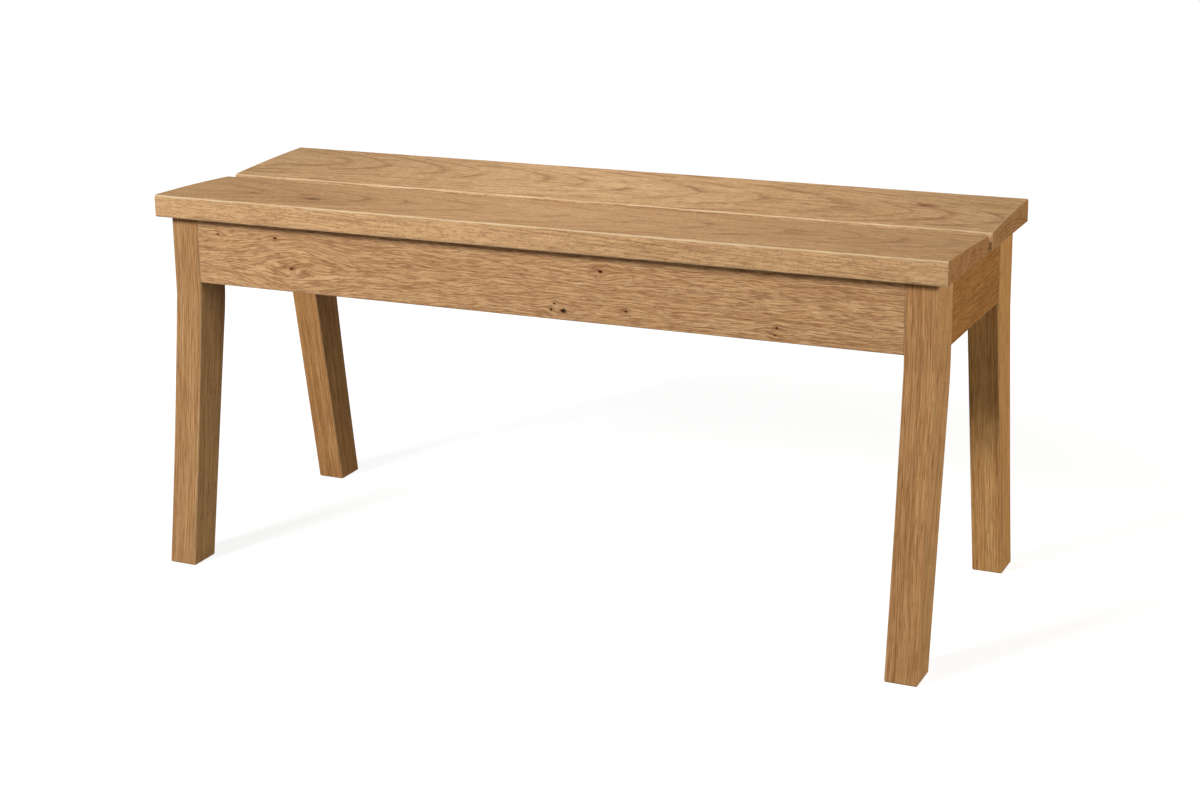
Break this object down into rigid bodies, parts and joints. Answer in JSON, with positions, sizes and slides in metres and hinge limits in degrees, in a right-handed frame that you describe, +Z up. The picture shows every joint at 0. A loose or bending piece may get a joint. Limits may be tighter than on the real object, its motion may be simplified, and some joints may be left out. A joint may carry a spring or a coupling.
{
  "type": "wooden bench",
  "caption": "Solid oak bench with a gently dished plank seat, open slot between the planks, deep aprons and splayed, slightly curved legs.",
  "frame": {"origin": "on the floor under the middle of the seat", "axes": "+X along the seat to the right seen from the front, +Y from front to back, +Z up"},
  "size_m": [0.96, 0.3932, 0.4499],
  "materials": {
    "oak_seat": "oiled satin oak, flat-sawn figure",
    "oak_legs": "oiled satin oak, straight grain",
    "oak_rails": "oiled satin oak, wavy grain with small knots",
    "oak_inner": "sanded oak, unoiled",
    "screw_steel": "zinc plated"
  },
  "bodies": {
    "root": {"seat_plank_front": "oak_seat", "seat_plank_rear": "oak_seat", "leg_front_left": "oak_legs", "leg_front_right": "oak_legs", "leg_rear_left": "oak_legs", "leg_rear_right": "oak_legs", "apron_front": "oak_rails", "apron_rear": "oak_rails", "end_rail_left": "oak_rails", "end_rail_right": "oak_rails", "cross_bearer_left": "oak_inner", "cross_bearer_right": "oak_inner", "corner_block_front_left": "oak_inner", "corner_block_front_right": "oak_inner", "corner_block_rear_left": "oak_inner", "corner_block_rear_right": "oak_inner", "bearer_screws": "screw_steel", "block_seat_screws": "screw_steel", "corner_block_screws": "screw_steel"}
  },
  "joints": []
}
